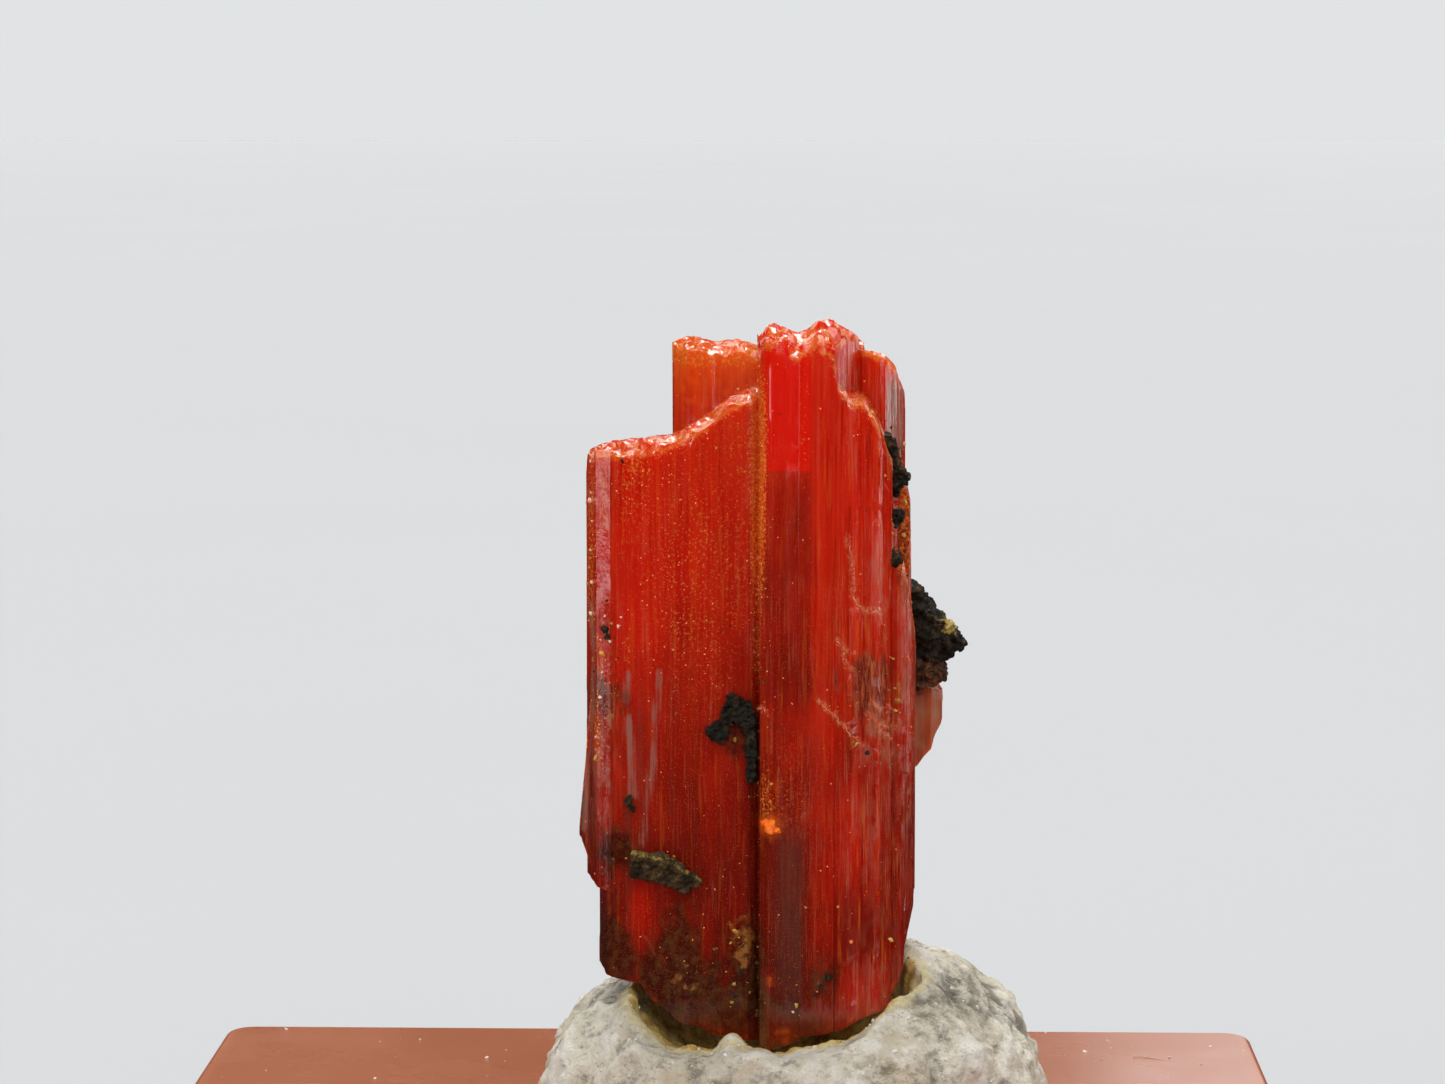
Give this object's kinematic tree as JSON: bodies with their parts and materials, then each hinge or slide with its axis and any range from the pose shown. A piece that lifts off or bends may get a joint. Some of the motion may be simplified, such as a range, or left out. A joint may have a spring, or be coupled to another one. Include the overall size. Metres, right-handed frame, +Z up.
{
  "type": "crocoite crystal specimen",
  "caption": "Red-orange crocoite crystal of parallel striated prisms with broken tops and dark matrix, its foot pressed into putty on a small square display slab.",
  "frame": {"origin": "centre of the slab's underside", "axes": "+Z up along the crystal, +X to the right seen from the front of the specimen, +Y to its back"},
  "size_m": [0.0318, 0.0318, 0.0294],
  "materials": {
    "crocoite": "translucent red-orange, adamantine gloss, striated lengthwise",
    "pale_crocoite": "translucent brownish pink, softly glossy",
    "gossan": "rough dark brown to black with ochre edges",
    "putty": "matt mottled grey-cream",
    "slab": "satin salmon pink"
  },
  "bodies": {
    "root": {"base_slab": "slab", "mounting_putty": "putty", "crocoite_crystal": "crocoite", "side_crystal": "pale_crocoite", "gossan_lump_right": "gossan", "gossan_wedge_left": "gossan", "gossan_crust_groove": "gossan", "gossan_bit_upper": "gossan", "gossan_bit_middle": "gossan", "gossan_bit_lower": "gossan"}
  },
  "joints": []
}
